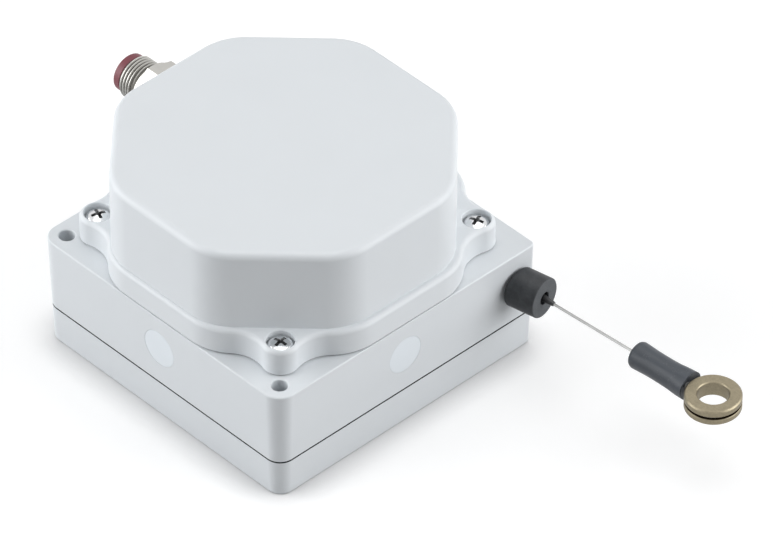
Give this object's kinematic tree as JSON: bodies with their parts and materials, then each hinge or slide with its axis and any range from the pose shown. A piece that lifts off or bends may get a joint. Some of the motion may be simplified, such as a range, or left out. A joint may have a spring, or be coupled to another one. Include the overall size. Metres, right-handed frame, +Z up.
{
  "type": "draw wire encoder",
  "caption": "Square light grey plastic housing with an octagonal cover, a steel draw wire with rubber bumper and brass eyelet, and a round threaded connector.",
  "frame": {"origin": "middle of the square mounting face", "axes": "+X the way the wire is pulled out, -X the connector's side, +Z up through the cover"},
  "size_m": [0.1783, 0.096, 0.0652],
  "materials": {
    "housing": "light grey moulded plastic, fine satin",
    "plug": "light grey moulded plastic, satin",
    "gasket": "matt black",
    "screw_steel": "bright zinc plate",
    "black_plastic": "matt black",
    "drum_plastic": "dark grey moulded plastic",
    "bearing_steel": "ground steel",
    "spring_steel": "blue-grey tempered steel",
    "plate_aluminium": "milled",
    "magnet": "nickel plate",
    "board": "green circuit board",
    "nickel": "nickel plate",
    "gold_pin": "gold plate",
    "lead_jacket": "flexible plastic insulation",
    "cap_red": "dark red plastic",
    "wire_steel": "stranded stainless wire",
    "brass": "turned",
    "eyelet_brass": "pale turned brass",
    "crimp_black": "black plastic sleeve on the crimp",
    "rubber": "matt black rubber, worn grey",
    "sleeve": "dark slate shrink tube, satin"
  },
  "bodies": {
    "housing": {"base_shell": "housing", "base_gasket": "gasket", "base_screws": "screw_steel", "main_housing": "housing", "side_plugs": "plug", "outlet_bush": "black_plastic", "cover_gasket": "gasket", "cover": "housing", "cover_screws": "screw_steel", "bearing_outer_rings": "bearing_steel", "spring_anchor": "screw_steel", "spiral_spring": "spring_steel", "bearing_plate": "plate_aluminium", "plate_screws": "screw_steel", "standoffs": "brass", "encoder_board": "board", "board_chips": "black_plastic", "board_screws": "screw_steel", "connector_shell": "nickel", "connector_seal": "gasket", "connector_lock_nut": "nickel", "connector_insert": "black_plastic", "connector_pins": "gold_pin", "connector_leads": "lead_jacket"},
    "drum": {"drum": "drum_plastic", "drum_shaft": "screw_steel", "bearing_inner_rings": "bearing_steel", "bearing_balls": "bearing_steel", "spring_arbor": "brass", "retaining_ring": "black_plastic", "magnet_holder": "brass", "encoder_magnet": "magnet", "wound_wire": "wire_steel", "wire_anchor": "brass"},
    "wire_end": {"draw_wire": "wire_steel", "wire_tail": "wire_steel", "wire_crimp": "crimp_black", "wire_bumper": "rubber", "loop_ferrule": "brass", "wire_loop": "wire_steel", "shrink_sleeve": "sleeve", "eyelet": "eyelet_brass"},
    "cap": {"connector_cap": "cap_red"}
  },
  "joints": [
    {"name": "drum_spin", "type": "hinge", "parent": "housing", "child": "drum", "pos_m": [0, 0, 0], "axis": [0, 0, -1], "range_deg": [0, 3139], "stiffness_Nm_per_rad": 0.001, "springref_deg": -8594.37, "deforming": ["spiral_spring"]},
    {"name": "wire_draw", "type": "slide", "parent": "housing", "child": "wire_end", "axis": [0.998, 0.0628, 0], "range_m": [0, 2], "deforming": ["draw_wire"]},
    {"name": "cap_pull", "type": "slide", "parent": "housing", "child": "cap", "axis": [-1, 0, 0], "range_m": [0, 0.015]}
  ],
  "couplings": [
    {"joint": "wire_draw", "follows": "drum_spin", "m_per_rad": 0.0365}
  ]
}
